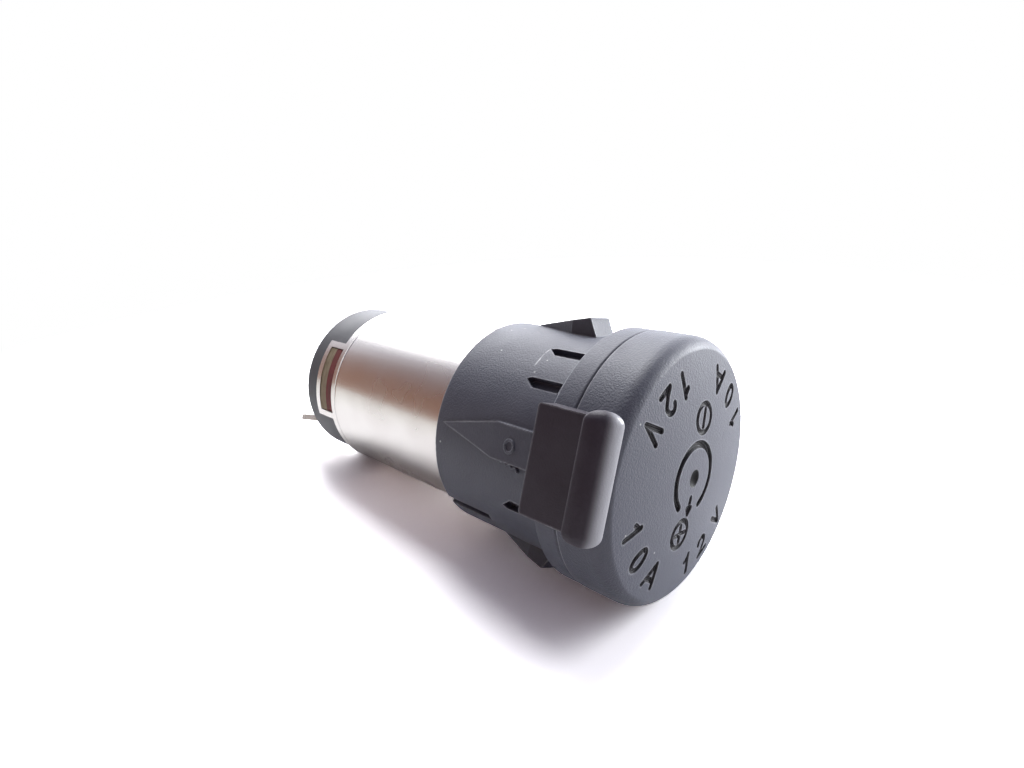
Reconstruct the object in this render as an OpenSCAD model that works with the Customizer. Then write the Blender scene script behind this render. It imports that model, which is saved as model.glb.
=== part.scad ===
// Car 12 V power socket with a hinged lid, made to snap into a hole in a panel.
// Its axis lies along Y: the lid faces -Y and the terminals point to +Y.
// The origin is on the axis, in the face of the flange that seats on the panel.
// Every piece is drawn standing on its axis with the mouth up, and laid() lays it down.
// In that standing view the tab of the lid is at 180 degrees and its hinge at 0.

/* [Socket tube] */
// Inner diameter of the metal tube that a plug goes into
bore_d = 21; // [20:0.1:24]
// Thickness of the tube's sheet
tube_wall = 0.7; // [0.5:0.05:1]
// How far the tube reaches behind the panel face
tube_rear = 39.1; // [32:0.1:60]
// How far the rolled lip stands out from the tube at its mouth
lip_out = 0.9; // [0.5:0.05:1]
// How far the mouth is flared out inside the lip
flare_out = 0.4; // [0.2:0.05:0.5]
// Height of the flare
flare_h = 1.9; // [1:0.1:3]
// How far the seat of the earth plate is turned out of the tube's wall
seat_cut = 0.2; // [0.1:0.05:0.3]
// Half of the angle that each of the two tongues at the rear covers
tongue_half = 28; // [20:1:35]
// Width of the metal left round the window of a tongue
tongue_frame = 0.9; // [0.5:0.1:1.2]
// How far the window of a tongue reaches into the tube, past its rear edge
window_in = 0.25; // [0:0.05:0.5]

/* [Sleeve] */
// Clearance between the tube and the sleeve
tube_fit = 0.05; // [0.03:0.01:0.1]
// Wall of the sleeve round the tube
sleeve_wall = 1.15; // [1:0.05:2]
// How far the sleeve reaches behind the panel face
sleeve_len = 15.6; // [15:0.1:25]
// How far the flange stands out from the sleeve
flange_out = 1.45; // [1:0.05:3]
// Thickness of the flange
flange_t = 2.65; // [2:0.05:4]
// Height of the neck in front of the flange, under the lid
neck_h = 1.35; // [1:0.05:1.6]
// Rounding of the flange's edges and of the sleeve's rear edge
sleeve_edge = 0.3; // [0.1:0.05:0.5]

/* [Snap wedges] */
// Width of a snap wedge
wedge_w = 3.4; // [3:0.05:6]
// Height of a snap wedge over the sleeve
wedge_h = 1.9; // [1:0.05:2.5]
// Distance from the panel face to a wedge's foot, the thickest panel that fits
grip = 3.2; // [2:0.1:4]
// How far a wedge's steep front leans back from its foot to its top
wedge_lean = 0.85; // [0.3:0.05:1.2]
// Rounding between a wedge's top and its front
wedge_round = 0.25; // [0.1:0.05:0.5]
// Distance from the panel face to the place where a wedge or a rib gets its full width
wedge_shoulder = 6.5; // [5.6:0.1:8]
// Height of a wedge over the sleeve at its point
wedge_nose = 0.12; // [0.08:0.02:0.3]
// Distance from the panel face to a wedge's point
wedge_tip = 12.4; // [10:0.1:14.8]
// Angle from the tab to the wedges above and below it
wedge_turn = 82; // [75:1:90]

/* [Guide ribs] */
// Width of a guide rib
rib_w = 3.75; // [3:0.05:6]
// Height over the sleeve of the two low ribs that centre it in the panel's hole
rib_h = 0.35; // [0.2:0.05:0.5]
// Height of a rib at its point
rib_nose = 0.1; // [0.08:0.01:0.2]
// Distance from the panel face to a rib's point
rib_tip = 14.5; // [10:0.1:14.8]

/* [Pockets of the sleeve] */
// Angle from a wedge to the pockets on its two sides
pocket_turn = 30.7; // [26:0.1:33]
// Width of a pocket
pocket_w = 1.15; // [0.6:0.05:2]
// Depth of a pocket
pocket_deep = 0.8; // [0.3:0.05:0.9]
// Distance from the panel face to a pocket's square end
pocket_front = 1.1; // [0.5:0.1:2]
// Distance from the panel face to a pocket's point
pocket_tip = 5.6; // [4:0.1:7]
// Angle from the tab to the groove in the sleeve's rear edge
groove_turn = 48.5; // [45:0.5:55]
// Length of the groove
groove_len = 6.7; // [3:0.1:7]

/* [Lid] */
// Radius of the lid beyond that of the flange
lid_over = 0.05; // [0:0.05:0.5]
// Open seam between the flange and the lid's skirt
seam = 0.15; // [0.1:0.05:0.4]
// Height of the middle of the lid's face over the panel face
face_z = 9.15; // [8.6:0.05:12]
// Fall of the domed face from its middle to its edge
face_sag = 0.8; // [0.3:0.05:1.5]
// Rounding of the lid's front edge
lid_edge = 2; // [1:0.1:3]
// Wall of the lid's skirt
lid_wall = 1.05; // [0.8:0.05:1.1]
// Thickness of the lid at the middle of its face
lid_top = 2.3; // [1.5:0.1:2.4]
// Wall of the ring inside the lid that finds the tube's mouth
ring_wall = 1; // [0.8:0.1:2]
// Gap between that ring and the tube's bore
ring_gap = 0.7; // [0.6:0.05:1.5]
// Distance from that ring's edge back to the plane of the skirt's edge
ring_back = 0.3; // [0.2:0.1:1]

/* [Tab] */
// Width of the tab's arm
arm_w = 10.3; // [6:0.1:12]
// Distance from the axis to the arm's flat outer face
arm_x = 15.2; // [15:0.1:17]
// Height of the arm's end over the panel face
arm_end = 0; // [0:0.1:1]
// Gap between the arm and the rim of the flange
arm_gap = 0.3; // [0.3:0.05:0.6]
// Height of the arm's front end, inside the rounding of the lid
arm_front = 7; // [6.5:0.1:7.2]
// Rounding of the arm's edges
arm_edge = 0.45; // [0.2:0.05:0.45]
// Rounding of the two corners at the arm's end
arm_corner = 0.7; // [0.4:0.05:1]
// Length of the finger bar across the tab
bar_w = 11.6; // [8:0.1:13]
// Distance from the axis to the bar's outer face
bar_x = 16.2; // [15.8:0.1:18]
// Thickness of the bar, from its outer face towards the axis
bar_t = 2.5; // [2.4:0.1:3]
// Height of the bar's rear side over the panel face
bar_rear = 5.8; // [4.5:0.1:5.8]
// Height of the bar's front side over the panel face
bar_front = 8.4; // [8.4:0.1:9]
// Rounding of the bar's front edges
bar_edge = 1.15; // [0.5:0.05:1.2]
// Rounding of the bar's ends, seen from its outer face
bar_corner = 1.25; // [0.8:0.05:1.25]
// Rounding of the bar's rear edges
bar_rear_edge = 0.3; // [0.2:0.05:0.5]

/* [Hinge] */
// Diameter of the hinge pin
pin_d = 1.5; // [1:0.1:2]
// Clearance round the pin in the lid's knuckle
pin_run = 0.05; // [0.02:0.01:0.1]
// Clearance round the pin in the sleeve's ears
pin_seat = 0.01; // [0.01:0.01:0.02]
// Radius of the knuckle and the ears
knuckle_r = 1.5; // [1.3:0.05:2]
// Width of the lid's knuckle
knuckle_w = 5; // [3:0.1:7]
// Width of each ear on the sleeve
ear_w = 2.1; // [1.5:0.1:3]
// Gap between the knuckle and each ear
ear_gap = 0.2; // [0.1:0.05:0.4]
// Gap between the lid's skirt and the ears
hinge_gap = 0.3; // [0.3:0.05:0.6]

/* [Rear insulation] */
// How far the black rear plug's side lies inside the tube's outer side
plug_in = 0.45; // [0:0.05:0.6]
// Thickness of the plug behind the washers
plug_t = 4.2; // [2.5:0.1:6]
// Wall of the plug's skirt round the washers
plug_wall = 1.15; // [0.8:0.05:1.5]
// Depth of the recess in the plug's rear face
recess = 0.8; // [0.5:0.1:1.2]
// Radius of that recess
recess_r = 9; // [8.2:0.1:9.5]
// Rounding of the plug's rear edge
plug_edge = 0.5; // [0.2:0.1:0.8]
// Clearance between the pieces of the rear stack
stack_fit = 0.05; // [0.03:0.01:0.1]
// Thickness of the red washer
red_t = 1.2; // [1.2:0.1:2]
// Thickness of the brown washer
brown_t = 1.4; // [1:0.1:2]
// How far the washers' keys lie inside the tube's outer side
key_in = 0.1; // [0.05:0.05:0.3]
// How far the earth plate's rim stands past the centre contact's head
rim_over = 0.2; // [0.1:0.1:1]
// Radius of the flange of the insulating bush
bush_r = 4.9; // [4.2:0.1:5]
// Thickness of the flange of the insulating bush
bush_t = 1.2; // [0.8:0.1:2]
// Wall of the bush round the contact's stem
bush_wall = 1.1; // [0.6:0.1:1.2]

/* [Contacts and terminals] */
// Thickness of the plates and blades
sheet = 0.8; // [0.5:0.1:0.8]
// Width of the two terminal blades
blade_w = 6.3; // [4.8:0.1:6.3]
// Length of the negative blade behind the plug
neg_len = 6.5; // [5:0.1:10]
// Angle by which the negative blade is bent down
neg_bend = 10; // [0:1:15]
// Distance from the axis down to the middle of the negative blade
neg_down = 6.7; // [6:0.1:6.8]
// Distance from the axis out to the middle of the negative blade
neg_out = 4.25; // [3.9:0.05:4.3]
// Height of the negative terminal's foot on its plate
foot_h = 3.7; // [3.4:0.1:3.8]
// Length of the positive blade behind the plug
pos_len = 8; // [5:0.1:12]
// Distance from the axis to the outer side of the positive blade
pos_out = 5; // [4.2:0.1:6]
// Diameter of the hole in a blade
blade_hole = 1.6; // [1:0.1:2]
// Radius of the centre contact's head
head_r = 4; // [3:0.1:4.5]
// Height of the centre contact's domed head
head_h = 1.5; // [0.8:0.1:3]
// Diameter of the centre contact's stem
stem_d = 3.5; // [3:0.1:4]
// Radius of the closed end of the centre contact
tail_r = 2.7; // [2.4:0.1:3.3]
// Thickness of the closed end of the centre contact
tail_t = 0.9; // [0.6:0.1:1.5]
// Radius of the washer under that end
rivet_washer_r = 3.4; // [3:0.1:3.6]
// Thickness of that washer
rivet_washer_t = 0.6; // [0.4:0.1:1]
// Diameter of the small rivet that holds the negative terminal
small_rivet_d = 2; // [1.5:0.1:2.2]
// Radius of the small rivet's ends
small_head_r = 1.4; // [1.2:0.1:1.5]
// Thickness of the small rivet's ends
small_head_t = 0.35; // [0.2:0.05:0.35]

/* [Hidden] */
$fn = 64;
// A cutter reaches this far past the face that it goes through
past = 1;
// Angle of clearance beside the tongues and beside the washers' keys
turn_fit = 0.5;
// Length of the cut corners at a blade's end
blade_cut = 1;

// Radii, from the bore outwards
bore_r = bore_d / 2;
tube_r = bore_r + tube_wall;
seat_r = bore_r + seat_cut;
sleeve_bore_r = tube_r + tube_fit;
sleeve_r = sleeve_bore_r + sleeve_wall;
flange_r = sleeve_r + flange_out;
lid_r = flange_r + lid_over;

// Heights over the panel face, towards the lid
mouth_z = flange_t + neck_h;
lid_z = flange_t + seam;
ceiling_z = face_z - lid_top;

// The circles of the lid's outline: a wide one for the dome, a small one for the edge
edge_x = lid_r - lid_edge;
dome_r = (edge_x * edge_x + face_sag * face_sag) / (2 * face_sag);
dome_z = face_z - dome_r;
edge_z = dome_z + sqrt(pow(dome_r - lid_edge, 2) - edge_x * edge_x);
meet_x = edge_x * dome_r / (dome_r - lid_edge);

// The arm is part of the lid from this height on
arm_join = bar_rear - bar_rear_edge;

// Axis of the hinge
hinge_x = lid_r + hinge_gap + knuckle_r;
hinge_z = lid_z;
ear_mid = knuckle_w / 2 + ear_gap + ear_w / 2;
ear_end = ear_mid + ear_w / 2;

// Depths behind the panel face, from the tube's rear edge to the terminals
plate_z = tube_rear - sheet;
red_z = tube_rear + red_t;
brown_z = red_z + brown_t;
plug_z = brown_z + plug_t;
recess_z = plug_z - recess;
tongue_z = brown_z + stack_fit + tongue_frame;
bush_z = plate_z - bush_t;
seat_z = bush_z - head_h - rim_over;
tail_z = recess_z + sheet + rivet_washer_t;
plug_r = tube_r - plug_in;
washer_r = plug_r - plug_wall - stack_fit;
window_half = tongue_half - tongue_frame / tube_r * 180 / PI;
key_half = window_half - turn_fit;
stem_r = stem_d / 2;
collar_r = stem_r + stack_fit + bush_wall;
foot_mid = neg_down - foot_h / 2;

// Colours as the photograph shows them
black = [0.22, 0.23, 0.26];
nickel = [0.86, 0.84, 0.81];
steel = [0.62, 0.62, 0.64];
brass = [0.78, 0.66, 0.4];
red = [0.5, 0.16, 0.16];
brown = [0.45, 0.38, 0.27];

module laid() rotate([90, 0, 0]) children();

// Turns a shape drawn at 0 degrees to the angle that is counted from the tab, upwards
module from_tab(turn) rotate(180 - turn) children();

// A disc between two heights with both outer edges rounded
module turned(r, z0, z1, edge) rotate_extrude() {
    translate([0, z0]) square([r - edge, z1 - z0]);
    translate([0, z0 + edge]) square([r, z1 - z0 - 2 * edge]);
    for (z = [z0 + edge, z1 - edge]) translate([r - edge, z]) circle(edge);
}

// A plain disc, or a plain hole, between two heights
module disc(r, z0, z1) translate([0, 0, z0]) cylinder(r = r, h = z1 - z0);

// A box between two corners
module block(low, high) translate(low) cube(high - low);

// A wedge of a cylinder about 0 degrees, wider than any piece
module slice(half, z0, z1) {
    reach = 2 * lid_r;
    translate([0, 0, z0]) linear_extrude(z1 - z0)
        polygon([[0, 0], [reach * cos(half), -reach * sin(half)],
            [reach * cos(half), reach * sin(half)]]);
}

// A rectangle between two corners, with one rounding below and another above
module soft_square(low, high, low_edge, high_edge) {
    translate([low[0], low[1] + low_edge])
        square([high[0] - low[0], high[1] - low[1] - low_edge - high_edge]);
    translate([low[0] + low_edge, low[1]])
        square([high[0] - low[0] - 2 * low_edge, low_edge]);
    translate([low[0] + high_edge, high[1] - high_edge])
        square([high[0] - low[0] - 2 * high_edge, high_edge]);
    for (x = [low[0] + low_edge, high[0] - low_edge])
        translate([x, low[1] + low_edge]) circle(low_edge);
    for (x = [low[0] + high_edge, high[0] - high_edge])
        translate([x, high[1] - high_edge]) circle(high_edge);
}

// A bar across the tab with its edges rounded along it, and its corners by another rounding
module soft_bar(width, x0, x1, z0, z1, rear_edge, front_edge, corner) intersection() {
    rotate([90, 0, 0]) linear_extrude(width, center = true)
        soft_square([x0, z0], [x1, z1], rear_edge, front_edge);
    translate([x0, 0, 0]) rotate([90, 0, 90]) linear_extrude(x1 - x0)
        soft_square([-width / 2, z0], [width / 2, z1], corner, corner);
}

// An outline of sideways places and heights, pushed outwards from one radius to another
module outwards(r0, r1, outline) translate([r0, 0, 0]) rotate([90, 0, 90])
    linear_extrude(r1 - r0) polygon(outline);

// An outline of radii and heights, as thick as given across the radius
module across(width, outline) rotate([90, 0, 0])
    linear_extrude(width, center = true) polygon(outline);

// A round bar along the hinge's axis
module hinge_bar(r, half) translate([hinge_x, 0, hinge_z]) rotate([90, 0, 0])
    cylinder(r = r, h = 2 * half, center = true);

// Lid

// Half of the lid's solid section: a dome, a rounded edge and a straight skirt
module lid_section() {
    intersection() {
        translate([0, dome_z]) circle(dome_r, $fn = 256);
        translate([0, lid_z]) square([meet_x, face_z]);
    }
    translate([edge_x, edge_z]) circle(lid_edge);
    translate([0, lid_z]) square([lid_r, edge_z - lid_z]);
}

// The arm lies clear of the skirt and the flange, only its front joins the lid, and the bar
// stands up beside the lid's rounded edge
module tab() {
    difference() {
        soft_bar(arm_w, -arm_x, -edge_x, arm_end, arm_front, arm_edge, arm_edge, arm_corner);
        disc(flange_r + arm_gap, arm_end - past, arm_join);
    }
    soft_bar(bar_w, -bar_x, bar_t - bar_x, bar_rear, bar_front,
        bar_rear_edge, bar_edge, bar_corner);
}

module lid() color(black) laid() {
    difference() {
        union() {
            rotate_extrude() lid_section();
            block([edge_x, -knuckle_w / 2, lid_z], [hinge_x, knuckle_w / 2, hinge_z + knuckle_r]);
            hinge_bar(knuckle_r, knuckle_w / 2);
        }
        disc(lid_r - lid_wall, lid_z - past, ceiling_z);
        hinge_bar(pin_d / 2 + pin_run, knuckle_w / 2 + past);
    }
    difference() {
        tab();
        disc(edge_x, lid_z, face_z);
    }
    difference() {
        disc(bore_r - ring_gap, lid_z + ring_back, ceiling_z + past / 2);
        disc(bore_r - ring_gap - ring_wall, lid_z, ceiling_z);
    }
}

module lid_hinge_pin() color(steel) laid() hinge_bar(pin_d / 2, ear_end);

// Sleeve

// A long triangle with its point to the rear, cut down to a profile of radii and heights that
// starts at the point on top
module pointed(width, tip, nose, profile) {
    rise = (profile[0][0] - sleeve_r - nose) / (profile[0][1] + tip);
    front = profile[len(profile) - 1][1];
    intersection() {
        outwards(sleeve_bore_r, lid_r + past, [[0, -tip], [width / 2, -wedge_shoulder],
            [width / 2, front + past], [-width / 2, front + past],
            [-width / 2, -wedge_shoulder]]);
        across(width + past, concat([[sleeve_bore_r - past, -tip - past],
            [sleeve_r + nose - rise * past, -tip - past]], profile,
            [[sleeve_bore_r - past, front]]));
    }
}

// It rises to a rounded edge, and its steep front leans back
module snap_wedge() {
    arc_r = sleeve_r + wedge_h - wedge_round;
    arc_z = -grip - wedge_lean - wedge_round;
    pointed(wedge_w, wedge_tip, wedge_nose, concat(
        [for (a = [0:15:90]) [arc_r + wedge_round * cos(a), arc_z + wedge_round * sin(a)]],
        [[sleeve_r, -grip]]));
}

// It runs on into the flange
module guide_rib() pointed(rib_w, rib_tip, rib_nose,
    [[sleeve_r + rib_h, -wedge_shoulder], [sleeve_r + rib_h, flange_t / 2]]);

// The pocket's point lies to the side that is away from the tab. One pocket has no match
// below, because the groove takes its place.
module pocket() outwards(sleeve_r - pocket_deep, sleeve_r + past,
    [[-pocket_w / 2, -pocket_front], [pocket_w / 2, -pocket_front],
        [pocket_w / 2, -pocket_tip + pocket_w], [-pocket_w / 4, -pocket_tip],
        [-pocket_w / 2, -pocket_tip + pocket_w / 2]]);

module groove() block([sleeve_r - pocket_deep, -pocket_w / 2, -sleeve_len - past],
    [sleeve_r + past, pocket_w / 2, groove_len - sleeve_len]);

module outer_sleeve() color(black) laid() difference() {
    union() {
        turned(sleeve_r, -sleeve_len, flange_t - sleeve_edge, sleeve_edge);
        turned(flange_r, 0, flange_t, sleeve_edge);
        disc(sleeve_r, 0, mouth_z);
        for (turn = [wedge_turn, -wedge_turn]) from_tab(turn) snap_wedge();
        for (turn = [0, 180]) from_tab(turn) guide_rib();
        for (side = [-1, 1]) {
            translate([0, side * ear_mid, 0]) {
                hinge_bar(knuckle_r, ear_w / 2);
                block([edge_x, -ear_w / 2, hinge_z - knuckle_r], [hinge_x, ear_w / 2, flange_t]);
            }
        }
    }
    disc(sleeve_bore_r, -sleeve_len - past, mouth_z + past);
    for (flip = [0, 1]) mirror([0, flip, 0])
        for (turn = [pocket_turn, wedge_turn + pocket_turn, 180 - pocket_turn])
            from_tab(turn) pocket();
    from_tab(wedge_turn - pocket_turn) pocket();
    for (turn = [-groove_turn, 180 - groove_turn]) from_tab(turn) groove();
    hinge_bar(pin_d / 2 + pin_seat, ear_end + past);
}

// Socket tube

module socket_tube() color(nickel) laid() difference() {
    union() {
        disc(tube_r, -tongue_z, mouth_z);
        turned(tube_r + lip_out, mouth_z, mouth_z + tube_wall, tube_wall * 0.4);
    }
    disc(bore_r, -tongue_z - past, mouth_z + tube_wall + past);
    disc(seat_r, -tongue_z - past, -seat_z);
    translate([0, 0, mouth_z + tube_wall - flare_h])
        cylinder(r1 = bore_r, r2 = bore_r + flare_out, h = flare_h);
    difference() {
        disc(tube_r + past, -tongue_z - past, -tube_rear);
        for (side = [0, 180]) from_tab(side)
            slice(tongue_half, -tongue_z - 2 * past, -tube_rear + past);
    }
    for (side = [0, 180]) from_tab(side)
        slice(window_half, -tongue_z + tongue_frame, -tube_rear + window_in);
}

// Rear end

// A pressed cup whose rim butts on the shoulder inside the tube
module earth_plate() color(nickel) laid() difference() {
    disc(seat_r - stack_fit, -tube_rear, -seat_z);
    disc(seat_r - stack_fit - sheet, -plate_z, -seat_z + past);
    disc(collar_r + stack_fit, -tube_rear - past, -plate_z + past);
    translate([-neg_out, -foot_mid, 0])
        disc(small_rivet_d / 2 + stack_fit, -tube_rear - past, -plate_z + past);
}

// A blade of a given length that hangs down from the level 0, with its corners cut
module blade(length) across(sheet, [[-blade_w / 2, 0], [blade_w / 2, 0],
    [blade_w / 2, blade_cut - length], [blade_w / 2 - blade_cut, -length],
    [blade_cut - blade_w / 2, -length], [-blade_w / 2, blade_cut - length]]);

module blade_hole_at(length) translate([0, 0, -length]) rotate([90, 0, 0])
    cylinder(d = blade_hole, h = 2 * past, center = true);

module negative_terminal() color(nickel) laid() translate([-neg_out, -neg_down, 0])
    difference() {
        union() {
            block([-blade_w / 2, -sheet / 2, -tube_rear - sheet],
                [blade_w / 2, foot_h - sheet / 2, -tube_rear]);
            block([-blade_w / 2, -sheet / 2, -plug_z], [blade_w / 2, sheet / 2, -tube_rear]);
            translate([0, 0, -plug_z]) {
                rotate([0, 90, 0]) cylinder(d = sheet, h = blade_w, center = true);
                rotate([-neg_bend, 0, 0]) blade(neg_len);
            }
        }
        translate([0, 0, -plug_z]) rotate([-neg_bend, 0, 0]) blade_hole_at(neg_len / 2);
        translate([0, neg_down - foot_mid, 0])
            disc(small_rivet_d / 2 + stack_fit, -tube_rear - 2 * past, -tube_rear + past);
    }

module earth_rivet() color(nickel) laid() translate([-neg_out, -foot_mid, 0]) {
    disc(small_rivet_d / 2, -tube_rear - sheet, -plate_z);
    turned(small_head_r, -plate_z, -plate_z + small_head_t, small_head_t / 3);
    disc(small_head_r, -tube_rear - sheet - small_head_t, -tube_rear - sheet);
}

module insulating_bush() color(brown) laid() difference() {
    union() {
        disc(bush_r, -plate_z, -bush_z);
        disc(collar_r, -red_z, -plate_z);
    }
    disc(stem_r + stack_fit, -red_z - past, -bush_z + past);
}

// A washer with a key on each side that the window of a tongue snaps over
module keyed_washer(z0, z1, hole_r) difference() {
    union() {
        disc(washer_r, -z1, -z0);
        intersection() {
            disc(tube_r - key_in, -z1, -z0);
            for (side = [0, 180]) from_tab(side) slice(key_half, -z1 - past, -z0 + past);
        }
    }
    disc(hole_r, -z1 - past, -z0 + past);
}

// The opening that the negative terminal passes through, as tall as given
module terminal_slot(height, z0, z1)
    block([-neg_out - blade_w / 2 - 2 * stack_fit, -neg_down - sheet / 2 - 2 * stack_fit, -z1],
        [-neg_out + blade_w / 2 + 2 * stack_fit,
            -neg_down - sheet / 2 + height + 2 * stack_fit, -z0]);

module red_washer() color(red) laid() difference() {
    keyed_washer(tube_rear, red_z, collar_r + stack_fit);
    terminal_slot(foot_h, tube_rear - past, red_z + past);
}

module brown_washer() color(brown) laid() difference() {
    keyed_washer(red_z, brown_z, stem_r + stack_fit);
    terminal_slot(sheet, red_z - past, brown_z + past);
}

module rear_plug() color(black) laid() difference() {
    turned(plug_r, -plug_z, -tube_rear - stack_fit, plug_edge / 2);
    disc(plug_r - plug_wall, -brown_z, -tube_rear + past);
    disc(stem_r + stack_fit, -plug_z - past, -tube_rear);
    disc(recess_r, -plug_z - past, -recess_z);
    for (side = [0, 180]) from_tab(side) {
        slice(window_half, -brown_z, -tube_rear + past);
        difference() {
            slice(tongue_half + turn_fit, -tongue_z - stack_fit, -tube_rear + past);
            disc(seat_r - stack_fit, -tongue_z - past, -tube_rear + 2 * past);
        }
    }
    terminal_slot(sheet, tube_rear - past, plug_z + past);
}

module centre_contact() color(nickel) laid() {
    cap_r = (head_r * head_r + head_h * head_h) / (2 * head_h);
    intersection() {
        translate([0, 0, -bush_z + head_h - cap_r]) sphere(cap_r);
        disc(head_r + past, -bush_z, -bush_z + 2 * head_h);
    }
    disc(stem_r, -tail_z, -bush_z);
    turned(tail_r, -tail_z - tail_t, -tail_z, tail_t / 3);
}

module positive_terminal() color(brass) laid() difference() {
    union() {
        block([-blade_w / 2, -blade_w / 2, -recess_z - sheet],
            [pos_out, blade_w / 2, -recess_z]);
        translate([pos_out - sheet / 2, 0, -recess_z]) rotate(90)
            blade(pos_len + recess);
    }
    disc(stem_r + stack_fit, -recess_z - sheet - past, -recess_z + past);
    translate([pos_out - sheet / 2, 0, -plug_z]) rotate(90) blade_hole_at(pos_len / 2);
}

module rivet_washer() color(steel) laid() difference() {
    disc(rivet_washer_r, -tail_z, -recess_z - sheet);
    disc(stem_r + stack_fit, -tail_z - past, -recess_z + past);
}

lid();
lid_hinge_pin();
outer_sleeve();
socket_tube();
earth_plate();
negative_terminal();
earth_rivet();
insulating_bush();
red_washer();
brown_washer();
rear_plug();
centre_contact();
positive_terminal();
rivet_washer();
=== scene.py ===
import math

import bpy
from mathutils import Matrix, Vector


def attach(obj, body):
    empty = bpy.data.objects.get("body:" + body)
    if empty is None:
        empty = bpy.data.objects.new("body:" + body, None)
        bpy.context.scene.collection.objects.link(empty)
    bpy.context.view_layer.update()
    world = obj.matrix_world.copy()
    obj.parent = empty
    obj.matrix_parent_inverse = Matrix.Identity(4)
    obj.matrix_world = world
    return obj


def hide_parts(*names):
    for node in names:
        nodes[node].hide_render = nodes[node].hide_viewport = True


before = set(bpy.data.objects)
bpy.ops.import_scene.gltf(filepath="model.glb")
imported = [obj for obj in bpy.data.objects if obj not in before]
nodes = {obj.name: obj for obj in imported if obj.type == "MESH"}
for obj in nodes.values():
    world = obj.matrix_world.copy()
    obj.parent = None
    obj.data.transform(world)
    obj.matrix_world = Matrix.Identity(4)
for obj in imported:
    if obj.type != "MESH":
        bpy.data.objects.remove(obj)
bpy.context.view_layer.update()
bpy.ops.object.select_all(action="DESELECT")

# Camera
# The wide lens of a phone, held 7 cm from the socket, a little above the table and to the left
# of the lid. The picture's width, its focal length and its shift are in pixels.
PHOTO_WIDTH = 1024
PHOTO_FOCAL = 620
PHOTO_SHIFT = -2.7
CAMERA_PLACE = (-0.05823, -0.03449, 0.01017)
camera_data = bpy.data.cameras.new("camera")
camera = bpy.data.objects.new("camera", camera_data)
bpy.context.scene.collection.objects.link(camera)
bpy.context.scene.camera = camera
camera_data.sensor_width = 36
camera_data.lens = camera_data.sensor_width * PHOTO_FOCAL / PHOTO_WIDTH
camera_data.shift_y = PHOTO_SHIFT / PHOTO_WIDTH
camera_data.clip_start = 0.002
camera_data.clip_end = 10
camera_forward = Vector((0.7492, 0.6589, -0.0673)).normalized()
camera_right = Vector((0.6583, -0.7295, 0.1858))
camera_up = camera_right.cross(camera_forward).normalized()
camera_right = camera_forward.cross(camera_up)
camera.matrix_world = Matrix.Translation(CAMERA_PLACE) @ Matrix(
    (camera_right, camera_up, -camera_forward)).transposed().to_4x4()

# Table
# A white paper sheet. The socket lies on it as it rolls to rest: on the rim of its flange and
# the rear edge of its tube, with a wedge below the tab to stop it, so the sheet is turned to fit.
TABLE_SIZE = 4
TABLE_NEAR = 0.05
TABLE_FAR = 0.16
PAPER = (0.9, 0.89, 0.89, 1)
PAPER_SEEN = (2.35, 2.3, 2.33, 1)
WHITE = (1, 1, 1, 1)
table_up = Vector((-0.395, -0.0672, 0.916)).normalized()
lowest = min(table_up.dot(v.co) for node in nodes.values() for v in node.data.vertices)
bpy.ops.mesh.primitive_plane_add(size=TABLE_SIZE)
table = bpy.context.object
table.name = "table"
table.data.transform(
    Matrix.Translation(lowest * table_up)
    @ table_up.to_track_quat("Z", "Y").to_matrix().to_4x4())


def material(name):
    made = bpy.data.materials.new(name)
    made.use_nodes = True
    return made, made.node_tree, made.node_tree.nodes["Principled BSDF"]


def add(tree, kind, sockets=None, **settings):
    made = tree.nodes.new("ShaderNode" + kind)
    for name, value in settings.items():
        setattr(made, name, value)
    for name, value in (sockets or {}).items():
        if isinstance(value, bpy.types.NodeSocket):
            tree.links.new(value, made.inputs[name])
        else:
            made.inputs[name].default_value = value
    return made


def calculate(tree, operation, *values):
    return add(tree, "Math", dict(enumerate(values)), operation=operation).outputs[0]


def ramp(tree, value, stops):
    made = add(tree, "ValToRGB", {"Fac": value})
    points = made.color_ramp.elements
    while len(points) < len(stops):
        points.new(0.5)
    for point, (place, colour) in zip(points, stops):
        point.position = place
        point.color = (*colour, 1)
    return made.outputs["Color"]


def seen_directly(tree):
    rays = add(tree, "LightPath").outputs
    mirrored = calculate(tree, "MAXIMUM", rays["Is Glossy Ray"], rays["Is Transmission Ray"])
    return calculate(tree, "MAXIMUM", rays["Is Camera Ray"], mirrored)


# Paper round the socket, which turns to plain white from TABLE_NEAR to TABLE_FAR
paper, paper_tree, paper_face = material("white paper")
paper_place = add(paper_tree, "TexCoord").outputs["Object"]
paper_seen = add(paper_tree, "Mix", {
    "Factor": add(paper_tree, "LightPath").outputs["Is Camera Ray"],
    "A": PAPER, "B": PAPER_SEEN}, data_type="RGBA")
paper_tree.links.new(paper_seen.outputs["Result"], paper_face.inputs["Base Color"])
paper_face.inputs["Roughness"].default_value = 0.9
paper_face.inputs["Specular IOR Level"].default_value = 0.1
paper_far = add(paper_tree, "MapRange", {
    "Value": add(paper_tree, "VectorMath", {0: paper_place}, operation="LENGTH").outputs["Value"],
    "From Min": TABLE_NEAR, "From Max": TABLE_FAR}, interpolation_type="SMOOTHSTEP")
paper_share = calculate(
    paper_tree, "MULTIPLY", paper_far.outputs["Result"], seen_directly(paper_tree))
paper_glow = add(paper_tree, "Emission", {"Color": WHITE, "Strength": 1})
paper_mix = add(paper_tree, "MixShader", {
    "Fac": paper_share, 1: paper_face.outputs[0], 2: paper_glow.outputs[0]})
paper_tree.links.new(
    paper_mix.outputs[0], paper_tree.nodes["Material Output"].inputs["Surface"])
table.data.materials.append(paper)

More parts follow.
